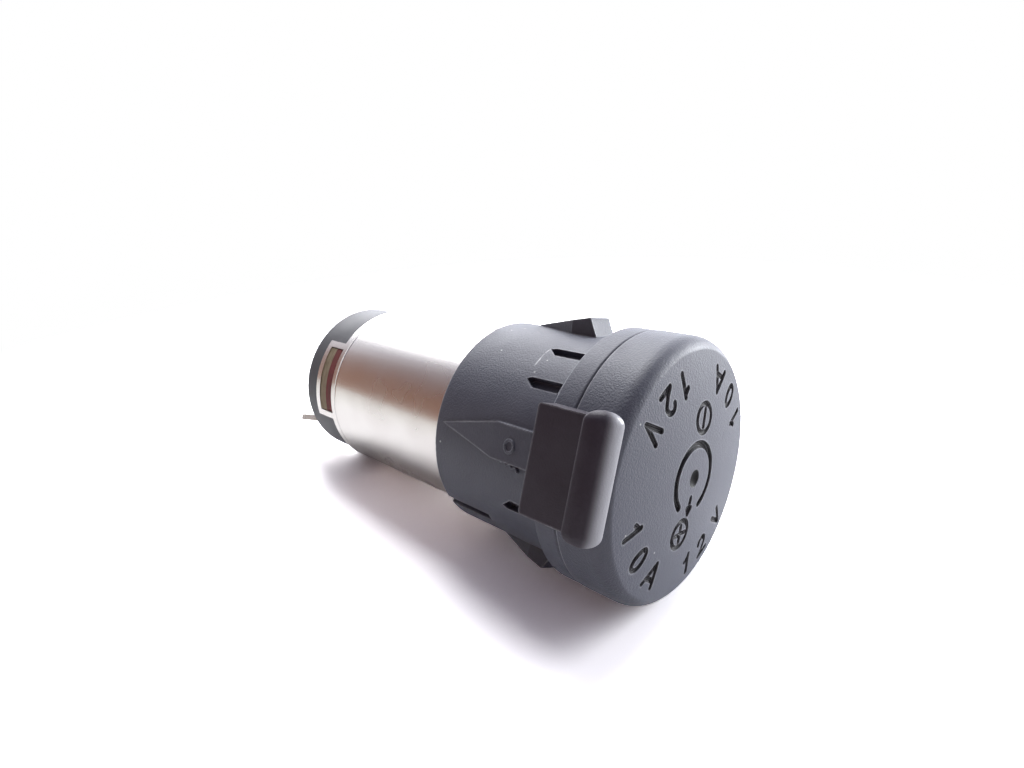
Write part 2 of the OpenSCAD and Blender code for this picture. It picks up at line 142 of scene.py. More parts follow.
# Light
# A wide window behind the socket, another to its right, a pale ceiling over it and a lamp in
# front on the right. The room is pale on the right and dark and warm on the left.
DAYLIGHT = (0.96, 0.97, 1)
LAMPLIGHT = (0.94, 0.97, 1)


def soft_light(name, place, target, size, power, colour):
    lamp_data = bpy.data.lights.new(name, "AREA")
    lamp_data.shape = "DISK"
    lamp_data.size = size
    lamp_data.energy = power
    lamp_data.color = colour
    lamp = bpy.data.objects.new(name, lamp_data)
    bpy.context.scene.collection.objects.link(lamp)
    lamp.location = place
    lamp.rotation_euler = (Vector(target) - Vector(place)).to_track_quat("-Z", "Y").to_euler()


soft_light("window", (0.09, 0.355, 0.325), (0, 0.02, 0),
           size=0.45, power=1.9, colour=DAYLIGHT)
soft_light("right_window", (0.45, 0.12, 0.25), (0, 0, 0),
           size=0.4, power=0.8, colour=DAYLIGHT)
soft_light("ceiling", (0, 0.12, 0.5), (0, 0, 0),
           size=0.35, power=2.5, colour=DAYLIGHT)
soft_light("front_light", (0.38, -0.23, 0.24), (0, 0, 0),
           size=0.26, power=3.7, colour=LAMPLIGHT)

# The room, which shows more strongly, by ROOM_GLOSS, where the metal reflects it
ROOM_GLOSS = 1.4
world = bpy.data.worlds.new("room")
bpy.context.scene.world = world
world.use_nodes = True
world_tree = world.node_tree
world_tree.nodes.clear()
direction = add(world_tree, "TexCoord").outputs["Generated"]
height = add(world_tree, "VectorMath", {0: direction, 1: table_up}, operation="DOT_PRODUCT")
dark_side = ramp(world_tree, height.outputs["Value"], [
    (0, (0.13, 0.07, 0.048)), (0.3, (0.105, 0.053, 0.037)), (0.5, (0.098, 0.066, 0.063)),
    (0.7, (0.093, 0.083, 0.104)), (0.95, (0.118, 0.118, 0.152))])
pale_side = ramp(world_tree, height.outputs["Value"], [
    (0, (0.6, 0.58, 0.6)), (0.35, (0.42, 0.42, 0.46)), (0.8, (0.25, 0.25, 0.28))])
pale_share = add(world_tree, "MapRange", {
    "Value": add(world_tree, "SeparateXYZ", {"Vector": direction}).outputs["X"],
    "From Min": -0.5, "From Max": -0.3}, interpolation_type="SMOOTHSTEP")
room_colour = add(world_tree, "Mix", {
    "Factor": pale_share.outputs["Result"], "A": dark_side, "B": pale_side},
    data_type="RGBA").outputs["Result"]
rays = add(world_tree, "LightPath").outputs
room_strength = calculate(world_tree, "MULTIPLY_ADD", rays["Is Glossy Ray"], ROOM_GLOSS, 1)
room = add(world_tree, "Background", {"Color": room_colour, "Strength": room_strength})
plain_white = add(world_tree, "Background", {"Color": WHITE, "Strength": 1})
world_mix = add(world_tree, "MixShader", {
    "Fac": rays["Is Camera Ray"], 1: room.outputs[0], 2: plain_white.outputs[0]})
add(world_tree, "OutputWorld", {"Surface": world_mix.outputs[0]})

# Lid
# One black moulding with a fine matte grain: a domed disc with a finger bar, and marks pressed
# into its face. The marks are cut into a merged copy of the CAD lid, stroke by stroke.
LID_FRONT = 0.00915
DOME_RADIUS = 0.0889
STROKE = 0.00064
LETTER_RING = 0.0102
LETTER_HALF = 0.00118
PLASTIC = (0.046, 0.049, 0.073, 1)
PLASTIC_WEAR_HIGHLIGHT = (0.34, 0.34, 0.37, 1)
PLASTIC_GROOVE_SHADE = (0.006, 0.006, 0.007, 1)
PLASTIC_TAB_SHADE = (0.026, 0.018, 0.03, 1)
PLASTIC_CLOUD = (0.3, 0.28, 0.31, 1)
DUST = (0.42, 0.42, 0.42, 1)
SHEEN_TINT = (0.85, 0.9, 1, 1)
EDGE_WIDTH = 0.00035
EDGE_WEAR_AND_HIGHLIGHT = 0.85
BAR_HIGHLIGHT_PALE = 0.95
RUB_ROUGHNESS = 0.3


def new_group(name, inputs, outputs):
    tree = bpy.data.node_groups.new(name, "ShaderNodeTree")
    for label, kind in inputs.items():
        tree.interface.new_socket(label, in_out="INPUT", socket_type="NodeSocket" + kind)
    for label, kind in outputs.items():
        tree.interface.new_socket(label, in_out="OUTPUT", socket_type="NodeSocket" + kind)
    return tree, tree.nodes.new("NodeGroupInput"), tree.nodes.new("NodeGroupOutput")


def place_group(tree, group, values):
    made = tree.nodes.new("ShaderNodeGroup")
    made.node_tree = group
    for name, value in values.items():
        made.inputs[name].default_value = value
    return made


# Where the rounded normal leaves the flat one, there is an edge, painted paler: partly wear that
# hands have rubbed, partly a painted highlight along it
edge_wear_and_highlight, wear_and_highlight_in, wear_and_highlight_out = new_group(
    "edge wear and highlight", {"Width": "Float", "Amount": "Float"}, {"Mask": "Float"})
rounded = add(edge_wear_and_highlight, "Bevel", {"Radius": wear_and_highlight_in.outputs["Width"]}, samples=6)
bend = add(edge_wear_and_highlight, "VectorMath", {
    0: rounded.outputs["Normal"], 1: add(edge_wear_and_highlight, "NewGeometry").outputs["Normal"]},
    operation="DOT_PRODUCT")
edge_share = add(edge_wear_and_highlight, "MapRange", {
    "Value": bend.outputs["Value"], "From Min": 0.985, "From Max": 0.84})
edge_patches = add(edge_wear_and_highlight, "TexNoise", {
    "Vector": add(edge_wear_and_highlight, "TexCoord").outputs["Object"], "Scale": 700, "Detail": 4})
edge_patch_share = add(edge_wear_and_highlight, "MapRange", {
    "Value": edge_patches.outputs["Fac"], "From Min": 0.3, "From Max": 0.62, "To Min": 0.35})
patchy_edge = calculate(
    edge_wear_and_highlight, "MULTIPLY", edge_share.outputs["Result"], edge_patch_share.outputs["Result"])
edge_mask = calculate(edge_wear_and_highlight, "MULTIPLY", patchy_edge, wear_and_highlight_in.outputs["Amount"])
edge_wear_and_highlight.links.new(edge_mask, wear_and_highlight_out.inputs["Mask"])

# Grain of the mould, cloudy handling marks and specks of dust
matte_skin, skin_in, skin_out = new_group(
    "matte skin", {"Colour": "Color", "Dust": "Float"},
    {"Colour": "Color", "Roughness": "Float", "Height": "Float"})
skin_place = add(matte_skin, "TexCoord").outputs["Object"]
grain = add(matte_skin, "TexNoise", {
    "Vector": skin_place, "Scale": 5000, "Detail": 2, "Roughness": 0.6})
cloud = add(matte_skin, "TexNoise", {"Vector": skin_place, "Scale": 260, "Detail": 5})
cloud_share = add(matte_skin, "MapRange", {
    "Value": cloud.outputs["Fac"], "From Min": 0.35, "From Max": 0.65})
clouded = add(matte_skin, "Mix", {
    "Factor": cloud_share.outputs["Result"], "A": skin_in.outputs["Colour"],
    "B": add(matte_skin, "Mix", {
        "Factor": 0.035, "A": skin_in.outputs["Colour"], "B": PLASTIC_CLOUD},
        data_type="RGBA").outputs["Result"]}, data_type="RGBA")
speck_cell = add(matte_skin, "TexVoronoi", {"Vector": skin_place, "Scale": 900})
speck_near = add(matte_skin, "MapRange", {
    "Value": speck_cell.outputs["Distance"], "From Min": 0.12, "From Max": 0.07})
speck_chance = add(matte_skin, "SeparateColor", {"Color": speck_cell.outputs["Color"]})
speck_pick = calculate(
    matte_skin, "LESS_THAN", speck_chance.outputs["Red"], skin_in.outputs["Dust"])
speck = calculate(matte_skin, "MULTIPLY", speck_near.outputs["Result"], speck_pick)
dusty = add(matte_skin, "Mix", {
    "Factor": speck, "A": clouded.outputs["Result"], "B": DUST}, data_type="RGBA")
skin_rough = add(matte_skin, "MapRange", {
    "Value": cloud.outputs["Fac"], "From Min": 0.3, "From Max": 0.7,
    "To Min": 0.46, "To Max": 0.56})
matte_skin.links.new(dusty.outputs["Result"], skin_out.inputs["Colour"])
matte_skin.links.new(skin_rough.outputs["Result"], skin_out.inputs["Roughness"])
matte_skin.links.new(grain.outputs["Fac"], skin_out.inputs["Height"])


# Edges are painted paler than the skin, for wear and a painted highlight. Where fingers have
# polished the bar's front it is smoother, and it is painted paler there, a painted highlight
def black_plastic(name, colour, dust, grain_height, sheen=0.3, specular=0.5, polish_and_highlight=None):
    made, tree, face = material(name)
    skin = place_group(tree, matte_skin, {"Colour": colour, "Dust": dust})
    edge = place_group(tree, edge_wear_and_highlight, {"Width": EDGE_WIDTH, "Amount": EDGE_WEAR_AND_HIGHLIGHT})
    worn = edge.outputs["Mask"]
    roughness = skin.outputs["Roughness"]
    if polish_and_highlight:
        polished_and_lit = place_group(tree, polish_and_highlight, {}).outputs["Mask"]
        worn = calculate(tree, "MAXIMUM", worn, calculate(tree, "MULTIPLY", polished_and_lit, BAR_HIGHLIGHT_PALE))
        roughness = add(tree, "Mix", {
            "Factor": polished_and_lit, "A": roughness, "B": RUB_ROUGHNESS},
            data_type="FLOAT").outputs["Result"]
    mixed = add(tree, "Mix", {
        "Factor": worn, "A": skin.outputs["Colour"], "B": PLASTIC_WEAR_HIGHLIGHT}, data_type="RGBA")
    bump = add(tree, "Bump", {
        "Height": skin.outputs["Height"], "Distance": grain_height, "Strength": 1})
    tree.links.new(mixed.outputs["Result"], face.inputs["Base Color"])
    tree.links.new(roughness, face.inputs["Roughness"])
    tree.links.new(bump.outputs["Normal"], face.inputs["Normal"])
    face.inputs["IOR"].default_value = 1.58
    face.inputs["Sheen Weight"].default_value = sheen
    face.inputs["Sheen Roughness"].default_value = 0.4
    face.inputs["Sheen Tint"].default_value = SHEEN_TINT
    face.inputs["Specular IOR Level"].default_value = specular
    return made


# Fingers have rubbed the front of the bar smooth, and it is painted paler there, a painted
# highlight
BAR_RIDGE = (-0.0142, -0.0088, 0)
bar_polish_and_highlight, _, polish_highlight_out = new_group("bar polish and highlight", {}, {"Mask": "Float"})
along_bar = add(bar_polish_and_highlight, "Mapping", {
    "Vector": add(bar_polish_and_highlight, "TexCoord").outputs["Object"], "Scale": (1, 1, 0)})
ridge_gap = add(bar_polish_and_highlight, "VectorMath", {
    0: along_bar.outputs["Vector"], 1: BAR_RIDGE}, operation="DISTANCE")
ridge_share = add(bar_polish_and_highlight, "MapRange", {
    "Value": ridge_gap.outputs["Value"], "From Min": 0.0019, "From Max": 0.0007},
    interpolation_type="SMOOTHSTEP")
bar_polish_and_highlight.links.new(ridge_share.outputs["Result"], polish_highlight_out.inputs["Mask"])

# The tab takes a darker, less glossy copy of the plastic, painted shade on its faces that turn
# from the lamps, with the painted highlight on the bar's front. SKIN, GROOVE and TAB are the
# lid's slots for these
lid_plastic = black_plastic("lid plastic", PLASTIC, dust=0.05, grain_height=0.00005)
tab_shade_plastic = black_plastic("tab shade plastic", PLASTIC_TAB_SHADE, dust=0.03, grain_height=0.00003,
                            sheen=0.06, specular=0.3, polish_and_highlight=bar_polish_and_highlight)
# The grooves of the marks take a near-black copy of the plastic, painted shade in the recesses
groove_shade_plastic = black_plastic("lid groove shade", PLASTIC_GROOVE_SHADE, dust=0, grain_height=0.00003,
                               sheen=0, specular=0.1)
SKIN, GROOVE, TAB = 0, 1, 2


def select_only(piece):
    bpy.ops.object.select_all(action="DESELECT")
    piece.select_set(True)
    bpy.context.view_layer.objects.active = piece


def on_dome(x, z):
    fall = DOME_RADIUS - math.sqrt(DOME_RADIUS ** 2 - x * x - z * z)
    return Vector((x, -LID_FRONT + fall, z))


# A stroke is a round bar that lies half in the face, with hemispheres for its ends, and ROUND_END
# says how far along a hemisphere its rings stand
ROUND_END = (0.35, 0.7, 0.9, 0.99)


def stroke_bar(path, width, closed=False):
    points = [(place, 1) for place in path]
    if not closed:
        first = (path[0] - path[1]).normalized() * width / 2
        last = (path[-1] - path[-2]).normalized() * width / 2
        front = [(path[0] + first * s, math.sqrt(1 - s * s)) for s in reversed(ROUND_END)]
        rear = [(path[-1] + last * s, math.sqrt(1 - s * s)) for s in ROUND_END]
        points = front + points + rear
    curve = bpy.data.curves.new("stroke", "CURVE")
    curve.dimensions = "3D"
    curve.bevel_depth = width / 2
    curve.bevel_resolution = 3
    curve.use_fill_caps = not closed
    spline = curve.splines.new("POLY")
    spline.points.add(len(points) - 1)
    for point, (place, thick) in zip(spline.points, points):
        point.co = (*place, 1)
        point.radius = thick
    spline.use_cyclic_u = closed
    bar = bpy.data.objects.new("stroke", curve)
    bpy.context.scene.collection.objects.link(bar)
    select_only(bar)
    bpy.ops.object.convert(target="MESH")
    return bpy.context.object


def join_in(piece, other, operation):
    select_only(piece)
    joined = piece.modifiers.new("join", "BOOLEAN")
    joined.object = other
    joined.operation = operation
    joined.solver = "EXACT"
    bpy.ops.object.modifier_apply(modifier=joined.name)
    bpy.data.objects.remove(other)


# A cut's faces take the groove slot, whose near-black plastic is painted shade
def press_in(piece, cutter):
    cutter.data.materials.clear()
    for slot in piece.data.materials:
        cutter.data.materials.append(slot)
    cutter.data.polygons.foreach_set("material_index", [GROOVE] * len(cutter.data.polygons))
    join_in(piece, cutter, "DIFFERENCE")


def arc(middle, radii, start, end, steps):
    turns = [math.radians(start + (end - start) * i / steps) for i in range(steps + 1)]
    return [Vector((middle[0] + radii[0] * math.cos(turn), middle[1] + radii[1] * math.sin(turn)))
            for turn in turns]


# A whole ring, which stroke_bar closes over the step from its end to its start
def whole_ring(middle, radii):
    return arc(middle, radii, 0, 348, 29)


# Each letter is a list of strokes, one unit from its middle to its top
LETTERS = {
    "0": [arc((0, 0), (0.55, 1), 0, 345, 23)],
    "1": [[Vector((0.1, -1)), Vector((0.1, 0)), Vector((0.1, 1))],
          [Vector((0.1, 0.8)), Vector((-0.45, 0.42))]],
    "2": [arc((0, 0.42), (0.6, 0.58), 170, -35, 12) + [Vector((-0.1, -0.55)), Vector((-0.62, -1))],
          [Vector((-0.62, -1)), Vector((0, -1)), Vector((0.66, -1))]],
    "A": [[Vector((-0.78, -1)), Vector((0, 1))], [Vector((0.78, -1)), Vector((0, 1))],
          [Vector((-0.5, -0.42)), Vector((0.5, -0.42))]],
    "V": [[Vector((-0.68, 1)), Vector((0, -1))], [Vector((0.68, 1)), Vector((0, -1))]]}
# The ratings, each with the turns of its letters round the face in degrees
RATINGS = [("12V", (119, 135, 154)), ("10A", (38, 57, 77)),
           ("12V", (-68.6, -50, -28.8)), ("10A", (-152, -132, -111))]

# The merged copy, with the doubles of the CAD mesh welded
MERGE = 0.000001
select_only(nodes["lid"])
bpy.ops.object.duplicate()
marked_lid = bpy.context.object
marked_lid.name = "marked_lid"
marked_lid.data.materials.clear()
marked_lid.data.materials.append(lid_plastic)
marked_lid.data.materials.append(groove_shade_plastic)
bpy.ops.object.mode_set(mode="EDIT")
bpy.ops.mesh.select_all(action="SELECT")
bpy.ops.mesh.remove_doubles(threshold=MERGE)
bpy.ops.object.mode_set(mode="OBJECT")

# The finger bar is remade as a soft loaf: flat outside, rounded over to the front and the ends.
# First the CAD bar is cut away down to its arm, by boxes that reach past it on every side
BAR_OUTER, BAR_INNER = -0.0162, -0.01365
BAR_REAR, BAR_FRONT = -0.00575, -0.0085
BAR_HALF, BAR_END = 0.0058, 0.00115
BAR_ROUND, BAR_EDGE = 0.0021, 0.0003
BAR_ROUND_STEPS, BAR_EDGE_STEPS, BAR_END_STEPS = 12, 5, 8
ARM_OUTER, ARM_HALF, ARM_FRONT = -0.015, 0.00515, -0.007
HAIR = 0.00001
CUT_OUTER, CUT_INNER, CUT_SIDE = -0.018, -0.013, 0.007
CUT_FRONT, CUT_REAR = -0.0095, -0.0058 + HAIR


def cut_box(piece, low, high):
    bpy.ops.object.select_all(action="DESELECT")
    bpy.ops.mesh.primitive_cube_add(size=1, location=[(a + b) / 2 for a, b in zip(low, high)])
    bpy.context.object.scale = [b - a for a, b in zip(low, high)]
    bpy.ops.object.transform_apply(location=True, rotation=True, scale=True)
    join_in(piece, bpy.context.object, "DIFFERENCE")


cut_corner = (CUT_OUTER, CUT_FRONT, -CUT_SIDE)
cut_box(marked_lid, cut_corner, (ARM_OUTER + HAIR, CUT_REAR, CUT_SIDE))
cut_box(marked_lid, cut_corner, (BAR_INNER - 4 * HAIR, ARM_FRONT + HAIR, CUT_SIDE))
for side in (-1, 1):
    ends = sorted((side * (ARM_HALF - HAIR), side * CUT_SIDE))
    cut_box(marked_lid, (CUT_OUTER, CUT_FRONT, ends[0]), (CUT_INNER, CUT_REAR, ends[1]))

# Then the new one is drawn as its cross section, whose corners are rounded
bar_width, bar_depth = BAR_INNER - BAR_OUTER, BAR_REAR - BAR_FRONT
bar_middle = Vector(((BAR_INNER + BAR_OUTER) / 2, (BAR_REAR + BAR_FRONT) / 2, 0))
bpy.ops.object.select_all(action="DESELECT")
bpy.ops.mesh.primitive_plane_add(size=1)
finger_bar = bpy.context.object
finger_bar.scale = (bar_width, bar_depth, 1)
finger_bar.location = (*bar_middle.xy, BAR_END - BAR_HALF)
bpy.ops.object.transform_apply(location=True, rotation=True, scale=True)
bpy.ops.object.mode_set(mode="EDIT")
for corner, reach, segments in (((BAR_OUTER, BAR_FRONT), BAR_ROUND, BAR_ROUND_STEPS),
                                ((BAR_OUTER, BAR_REAR), BAR_EDGE, BAR_EDGE_STEPS),
                                ((BAR_INNER, BAR_FRONT), BAR_EDGE, BAR_EDGE_STEPS)):
    bpy.ops.mesh.select_all(action="DESELECT")
    bpy.ops.object.mode_set(mode="OBJECT")
    for v in finger_bar.data.vertices:
        v.select = (v.co.xy - Vector(corner)).length < HAIR
    bpy.ops.object.mode_set(mode="EDIT")
    bpy.ops.mesh.select_mode(type="VERT")
    bpy.ops.mesh.bevel(offset=reach, segments=segments, affect="VERTICES")

# It is drawn out to its length, and each end is closed over in steps of a quarter circle
bpy.ops.mesh.select_all(action="SELECT")
bpy.ops.mesh.extrude_region_move(
    TRANSFORM_OT_translate={"value": (0, 0, 2 * (BAR_HALF - BAR_END))})
for side in (1, -1):
    bpy.ops.object.mode_set(mode="OBJECT")
    for kind in (finger_bar.data.polygons, finger_bar.data.edges, finger_bar.data.vertices):
        kind.foreach_set("select", [False] * len(kind))
    end_face = max(finger_bar.data.polygons, key=lambda f: side * f.center.z)
    end_face.select = True
    bpy.ops.object.mode_set(mode="EDIT")
    bpy.ops.mesh.select_mode(type="FACE")
    shrunk = reached = 0
    for step in range(1, BAR_END_STEPS + 1):
        turn = math.pi / 2 * step / BAR_END_STEPS
        reach, shrink = BAR_END * math.sin(turn), BAR_END * (1 - math.cos(turn))
        bpy.ops.mesh.extrude_region_move(
            TRANSFORM_OT_translate={"value": (0, 0, side * (reach - reached))})
        bpy.ops.transform.resize(
            value=((bar_width - 2 * shrink) / (bar_width - 2 * shrunk),
                   (bar_depth - 2 * shrink) / (bar_depth - 2 * shrunk), 1),
            center_override=bar_middle)
        shrunk, reached = shrink, reach
bpy.ops.mesh.select_all(action="SELECT")
bpy.ops.mesh.normals_make_consistent(inside=False)
bpy.ops.object.mode_set(mode="OBJECT")
finger_bar.data.materials.append(lid_plastic)
join_in(marked_lid, finger_bar, "UNION")

# The letters stand on a ring, their tops to the middle, and read counter-clockwise
for word, turns in RATINGS:
    for letter, turn in zip(word, turns):
        for line in LETTERS[letter]:
            path = []
            for point in line:
                angle = math.radians(turn) + point.x * LETTER_HALF / LETTER_RING
                reach = LETTER_RING - point.y * LETTER_HALF
                path.append(on_dome(reach * math.cos(angle), reach * math.sin(angle)))
            press_in(marked_lid, stroke_bar(path, STROKE, closed=letter == "0"))

# A minus above the middle and a plus below it, each in a ring
SIGN_RADIUS = 0.00145
SIGN_STROKE = 0.0006
SIGN_BAR = SIGN_RADIUS * 0.6
MINUS, MINUS_BARS = (-0.00016, 0.00607), [(0, 1)]
PLUS, PLUS_BARS = (-0.0003, -0.00572), [(-0.2, 0.98), (0.98, 0.2)]
for middle, bars in ((MINUS, MINUS_BARS), (PLUS, PLUS_BARS)):
    sign_ring = [on_dome(*p) for p in whole_ring(middle, (SIGN_RADIUS, SIGN_RADIUS))]
    press_in(marked_lid, stroke_bar(sign_ring, SIGN_STROKE, closed=True))
    for step_x, step_z in bars:
        ends = [on_dome(middle[0] + half * step_x, middle[1] + half * step_z)
                for half in (-SIGN_BAR, SIGN_BAR)]
        press_in(marked_lid, stroke_bar(ends, SIGN_STROKE))

# An open ring round the middle, an arrow in its gap, and the dimple of the mould's gate
RING_RADIUS = 0.0035
RING_STROKE = 0.00084
RING_START, RING_END, RING_STEPS = -50, 236, 44
open_ring = arc((0, 0), (RING_RADIUS, RING_RADIUS), RING_START, RING_END, RING_STEPS)
press_in(marked_lid, stroke_bar([on_dome(*p) for p in open_ring], RING_STROKE))
ARROW_TURN = math.radians(-86)
ARROW_TAIL, ARROW_NECK = 0.0020, 0.0031
BARB_TIP, BARB_BACK, BARB_SPREAD = 0.0037, 0.00305, 0.00042
arrow_out = Vector((math.cos(ARROW_TURN), math.sin(ARROW_TURN)))
arrow_side = Vector((-arrow_out.y, arrow_out.x))
press_in(marked_lid, stroke_bar([
    on_dome(*(arrow_out * reach)) for reach in (ARROW_TAIL, ARROW_NECK)], STROKE))
for side in (-1, 0, 1):
    barb = [arrow_out * BARB_TIP, arrow_out * BARB_BACK + arrow_side * side * BARB_SPREAD]
    press_in(marked_lid, stroke_bar([on_dome(*p) for p in barb], SIGN_STROKE))
DIMPLE_RADIUS = 0.00095
DIMPLE_DEPTH = 0.00036
dimple_ball = (DIMPLE_RADIUS ** 2 + DIMPLE_DEPTH ** 2) / (2 * DIMPLE_DEPTH)
bpy.ops.object.select_all(action="DESELECT")
bpy.ops.mesh.primitive_uv_sphere_add(
    segments=48, ring_count=32, radius=dimple_ball,
    location=(0, -LID_FRONT - dimple_ball + DIMPLE_DEPTH, 0))
dimple_cutter = bpy.context.object
bpy.ops.object.transform_apply(location=True, rotation=True, scale=True)
press_in(marked_lid, dimple_cutter)

# The normals kept from the CAD mesh no longer fit the cut faces, so they are cleared. The cuts
# leave long thin faces on the dome, which take the dome's own normals
SHARP = math.radians(30)
DOME_EDGE = 0.0127
NEAR_DOME = 0.00012
select_only(marked_lid)
bpy.ops.mesh.customdata_custom_splitnormals_clear()
bpy.ops.object.shade_smooth_by_angle(angle=SHARP)
lid_mesh = marked_lid.data
dome_middle = Vector((0, DOME_RADIUS - LID_FRONT, 0))
normals = [corner.vector.copy() for corner in lid_mesh.corner_normals]
for face in lid_mesh.polygons:
    for corner in face.loop_indices:
        place = lid_mesh.vertices[lid_mesh.loops[corner].vertex_index].co
        on_sphere = abs((place - dome_middle).length - DOME_RADIUS) < NEAR_DOME
        if face.material_index == SKIN and on_sphere and place.xz.length < DOME_EDGE:
            normals[corner] = (place - dome_middle).normalized()
lid_mesh.normals_split_custom_set(normals)
# The tab's faces take the darker plastic of painted shade
TAB_START = -0.0138
lid_mesh.materials.append(tab_shade_plastic)
for face in lid_mesh.polygons:
    if face.material_index == SKIN and face.center.x < TAB_START:
        face.material_index = TAB
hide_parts("lid")
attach(marked_lid, "dust_lid")

# Sleeve
# The black moulding that snaps into the panel, with its flange, wedges, pockets and the ears
# of the hinge. It has the lid's plastic, with more dust on it.
sleeve_plastic = black_plastic("sleeve plastic", PLASTIC, dust=0.09, grain_height=0.00005)


def finish_with(name, finish):
    nodes[name].data.materials.clear()
    nodes[name].data.materials.append(finish)


# A white line where the plastic has been strained, beside the upper pocket
STRESS_Y = 0.00575
STRESS_TURN = math.radians(46)
STRESS_SPAN, STRESS_FADE = math.radians(5), math.radians(7.5)
STRESS_WAVE = 0.0005
STRESS_WHITE = (0.55, 0.55, 0.57, 1)

stress, _, stress_out = new_group("stress line", {}, {"Mask": "Float"})
stress_place = add(stress, "TexCoord").outputs["Object"]
stress_axes = add(stress, "SeparateXYZ", {"Vector": stress_place}).outputs
stress_turn = calculate(
    stress, "ARCTAN2", stress_axes["Z"], calculate(stress, "MULTIPLY", stress_axes["X"], -1))
stress_noise = add(stress, "TexNoise", {
    "Vector": stress_place, "Scale": 900, "Detail": 3}).outputs["Fac"]
stress_gap = calculate(
    stress, "ADD", calculate(stress, "SUBTRACT", stress_axes["Y"], STRESS_Y),
    calculate(stress, "MULTIPLY_ADD", stress_noise, STRESS_WAVE, -STRESS_WAVE / 2))
stress_near = add(stress, "MapRange", {
    "Value": calculate(stress, "ABSOLUTE", stress_gap), "From Min": 0.00011, "From Max": 0.00003})
stress_side = calculate(stress, "SUBTRACT", stress_turn, STRESS_TURN)
stress_span = add(stress, "MapRange", {
    "Value": calculate(stress, "ABSOLUTE", stress_side),
    "From Min": STRESS_FADE, "From Max": STRESS_SPAN})
stress_patchy = add(stress, "MapRange", {
    "Value": stress_noise, "From Min": 0.38, "From Max": 0.55})
stress_line = calculate(
    stress, "MULTIPLY", stress_near.outputs["Result"], stress_span.outputs["Result"])
stress_mask = calculate(stress, "MULTIPLY", stress_line, stress_patchy.outputs["Result"])
stress.links.new(stress_mask, stress_out.inputs["Mask"])

sleeve_tree = sleeve_plastic.node_tree
sleeve_face = sleeve_tree.nodes["Principled BSDF"]
strained = add(sleeve_tree, "Mix", {
    "Factor": place_group(sleeve_tree, stress, {}).outputs["Mask"],
    "A": sleeve_face.inputs["Base Color"].links[0].from_socket, "B": STRESS_WHITE},
    data_type="RGBA")
sleeve_tree.links.new(strained.outputs["Result"], sleeve_face.inputs["Base Color"])
finish_with("outer_sleeve", sleeve_plastic)

# The ring that the moulding gate left on the rib beside the tab, and a burr along the rib
RIB_FACE = 0.01275
GATE_MIDDLE = (0.0043, -0.00016)
GATE_RADII = (0.00058, 0.00062)
GATE_STROKE = 0.00034
BURR_STROKE = 0.00032
BURR_LINE = (
    (0.01215, 0.0062, -0.00145), (0.01238, 0.0059, -0.0017), (0.01232, 0.0056, -0.0015),
    (0.0124, 0.0053, -0.0019), (0.01235, 0.0049, -0.0017), (0.01238, 0.0046, -0.0021),
    (0.01228, 0.0042, -0.0018), (0.01236, 0.0038, -0.0022), (0.01226, 0.0034, -0.0020),
    (0.0123, 0.0031, -0.0024))
gate_ring = stroke_bar(
    [Vector((-RIB_FACE, *p)) for p in whole_ring(GATE_MIDDLE, GATE_RADII)],
    GATE_STROKE, closed=True)
gate_ring.name = "gate_ring"
burr = stroke_bar([Vector((-x, y, z)) for x, y, z in BURR_LINE], BURR_STROKE)
burr.name = "burr"
for piece in (gate_ring, burr):
    select_only(piece)
    bpy.ops.object.shade_smooth()
    piece.data.materials.clear()
    piece.data.materials.append(sleeve_plastic)
    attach(piece, "socket")

# Socket tube
# Sheet steel, deep drawn and nickel plated to a satin shine, a little mottled and stained. The
# earth plate is pressed into it. That plate, the contact and the rivet also show fine lines.
NICKEL = (0.80, 0.775, 0.745, 1)
NICKEL_STAIN = (0.66, 0.62, 0.59, 1)

satin_plate, plate_in, plate_out = new_group(
    "satin plate", {"Colour": "Color", "Lines": "Float"},
    {"Colour": "Color", "Roughness": "Float", "Height": "Float"})
plate_place = add(satin_plate, "TexCoord").outputs["Object"]
drawn = add(satin_plate, "TexNoise", {
    "Vector": add(satin_plate, "Mapping", {
        "Vector": plate_place, "Scale": (1, 0.05, 1)}).outputs["Vector"],
    "Scale": 2600, "Detail": 4})
stain = add(satin_plate, "TexNoise", {"Vector": plate_place, "Scale": 130, "Detail": 2})
stain_share = add(satin_plate, "MapRange", {
    "Value": stain.outputs["Fac"], "From Min": 0.4, "From Max": 0.7, "To Max": 0.5})
stained = add(satin_plate, "Mix", {
    "Factor": stain_share.outputs["Result"], "A": plate_in.outputs["Colour"],
    "B": NICKEL_STAIN}, data_type="RGBA")
plate_rough = add(satin_plate, "MapRange", {
    "Value": stain.outputs["Fac"], "From Min": 0.3, "From Max": 0.7,
    "To Min": 0.22, "To Max": 0.29})
mottle = add(satin_plate, "TexNoise", {
    "Vector": plate_place, "Scale": 1800, "Detail": 1, "Roughness": 0.5})
line_height = calculate(
    satin_plate, "MULTIPLY_ADD", drawn.outputs["Fac"], plate_in.outputs["Lines"],
    mottle.outputs["Fac"])
satin_plate.links.new(stained.outputs["Result"], plate_out.inputs["Colour"])
satin_plate.links.new(plate_rough.outputs["Result"], plate_out.inputs["Roughness"])
satin_plate.links.new(line_height, plate_out.inputs["Height"])


